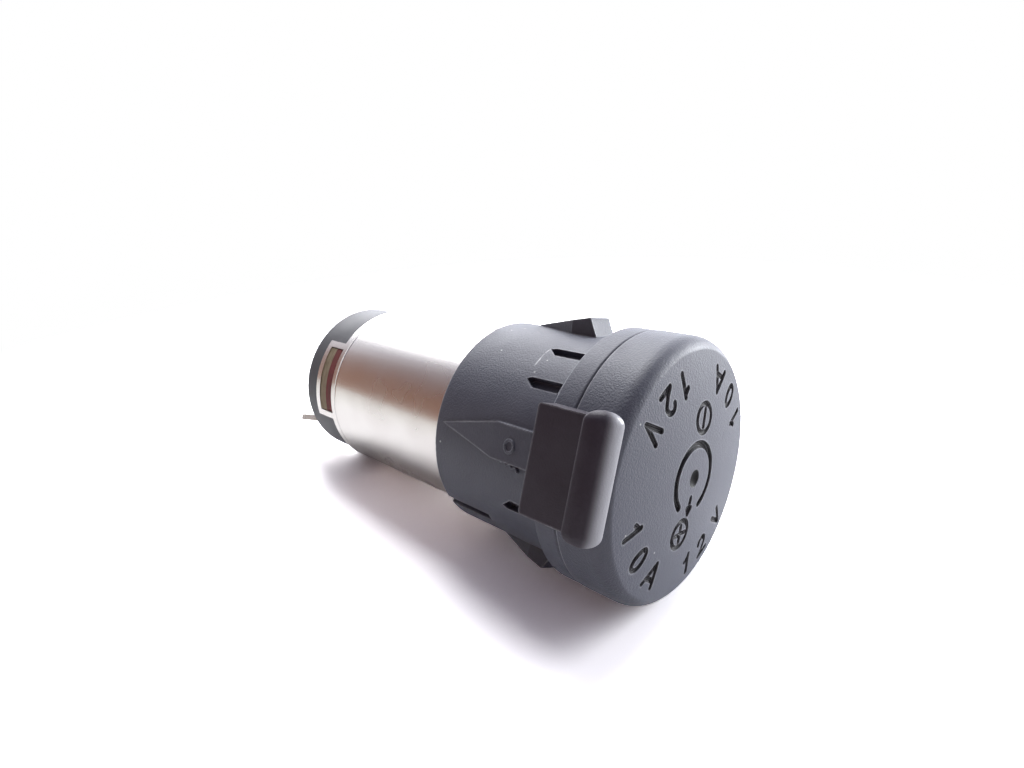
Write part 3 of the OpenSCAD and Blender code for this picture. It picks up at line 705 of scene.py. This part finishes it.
def plated(name, colour, lines, rolled=None):
    made, tree, face = material(name)
    plate = place_group(tree, satin_plate, {"Colour": colour, "Lines": lines})
    bump = add(tree, "Bump", {
        "Height": plate.outputs["Height"], "Distance": 0.000006, "Strength": 0.5})
    if rolled:
        bump = add(tree, "Bump", {
            "Height": place_group(tree, rolled, {}).outputs["Height"],
            "Distance": 0.00008, "Strength": 1, "Normal": bump.outputs["Normal"]})
    face.inputs["Metallic"].default_value = 1
    tree.links.new(plate.outputs["Colour"], face.inputs["Base Color"])
    tree.links.new(plate.outputs["Roughness"], face.inputs["Roughness"])
    tree.links.new(bump.outputs["Normal"], face.inputs["Normal"])
    return made


# A line rolled into the tube where its end was sized
ROLLED_Y = 0.0379
ROLLED_HALF = 0.00022
rolled_line, _, rolled_out = new_group("rolled line", {}, {"Height": "Float"})
rolled_axes = add(rolled_line, "SeparateXYZ", {
    "Vector": add(rolled_line, "TexCoord").outputs["Object"]}).outputs
rolled_gap = calculate(
    rolled_line, "ABSOLUTE", calculate(rolled_line, "SUBTRACT", rolled_axes["Y"], ROLLED_Y))
rolled_height = add(rolled_line, "MapRange", {
    "Value": rolled_gap, "From Min": ROLLED_HALF, "From Max": 0}, interpolation_type="SMOOTHSTEP")
rolled_line.links.new(rolled_height.outputs["Result"], rolled_out.inputs["Height"])

finish_with("socket_tube", plated("tube nickel", NICKEL, lines=0, rolled=rolled_line))
nickel = plated("nickel plate", NICKEL, lines=1)
for name in ("earth_plate", "centre_contact", "earth_rivet"):
    finish_with(name, nickel)

# Hinge pin, rivet washer and blades
# The pin and the washer are plain steel, the negative blade is plated and dulled, and the
# positive blade is bare brass. The pin is cut from wire and the others are stamped.
STEEL = (0.6, 0.6, 0.62, 1)
DULL_PLATE = (0.5, 0.49, 0.48, 1)
BRASS = (0.72, 0.56, 0.27, 1)
steel = plated("steel", STEEL, lines=1.4)
finish_with("lid_hinge_pin", steel)
finish_with("rivet_washer", steel)
finish_with("negative_terminal", plated("dull plate", DULL_PLATE, lines=1))
finish_with("positive_terminal", plated("brass", BRASS, lines=1))

# Fibre washers and bush
# Vulcanised fibre, stamped from sheet: a red washer in front, an olive brown one behind it,
# with the layers of the paper showing along their edges. The bush is of the brown fibre too.
RED_FIBRE, RED_STAIN = (0.2, 0.04, 0.04, 1), (0.13, 0.05, 0.04, 1)
BROWN_FIBRE, BROWN_STAIN = (0.34, 0.27, 0.18, 1), (0.2, 0.16, 0.09, 1)
FIBRE_ROUGHNESS = 0.75
fibre_sheet, fibre_in, fibre_out = new_group(
    "fibre sheet", {"Colour": "Color", "Stain": "Color"},
    {"Colour": "Color", "Height": "Float"})
fibre_place = add(fibre_sheet, "TexCoord").outputs["Object"]
layers = add(fibre_sheet, "TexNoise", {
    "Vector": add(fibre_sheet, "Mapping", {
        "Vector": fibre_place, "Scale": (0.12, 1, 0.12)}).outputs["Vector"],
    "Scale": 5000, "Detail": 4})
blotch = add(fibre_sheet, "TexNoise", {"Vector": fibre_place, "Scale": 600, "Detail": 5})
layer_share, blotch_share = [add(fibre_sheet, "MapRange", {
    "Value": pattern.outputs["Fac"], "From Min": 0.35, "From Max": 0.65}).outputs["Result"]
    for pattern in (layers, blotch)]
fibre_colour = add(fibre_sheet, "Mix", {
    "Factor": calculate(fibre_sheet, "MULTIPLY", layer_share, blotch_share),
    "A": fibre_in.outputs["Colour"],
    "B": fibre_in.outputs["Stain"]}, data_type="RGBA")
fibre_sheet.links.new(fibre_colour.outputs["Result"], fibre_out.inputs["Colour"])
fibre_sheet.links.new(layers.outputs["Fac"], fibre_out.inputs["Height"])


def fibre(name, colour, stain_colour):
    made, tree, face = material(name)
    sheet = place_group(tree, fibre_sheet, {"Colour": colour, "Stain": stain_colour})
    bump = add(tree, "Bump", {
        "Height": sheet.outputs["Height"], "Distance": 0.00006, "Strength": 0.7})
    face.inputs["Roughness"].default_value = FIBRE_ROUGHNESS
    tree.links.new(sheet.outputs["Colour"], face.inputs["Base Color"])
    tree.links.new(bump.outputs["Normal"], face.inputs["Normal"])
    return made


finish_with("red_washer", fibre("red fibre", RED_FIBRE, RED_STAIN))
brown_fibre = fibre("brown fibre", BROWN_FIBRE, BROWN_STAIN)
finish_with("brown_washer", brown_fibre)
finish_with("insulating_bush", brown_fibre)

# Rear plug
# A smoother black moulding that closes the tube behind the washers. The blades come out
# behind it, and the stem of the centre contact is riveted over it.
REAR_PLASTIC = (0.03, 0.03, 0.034, 1)
finish_with("rear_plug", black_plastic(
    "rear plastic", REAR_PLASTIC, dust=0.04, grain_height=0.00001))

# Picture
# Colours come out as written.
bpy.context.scene.view_settings.view_transform = "Standard"
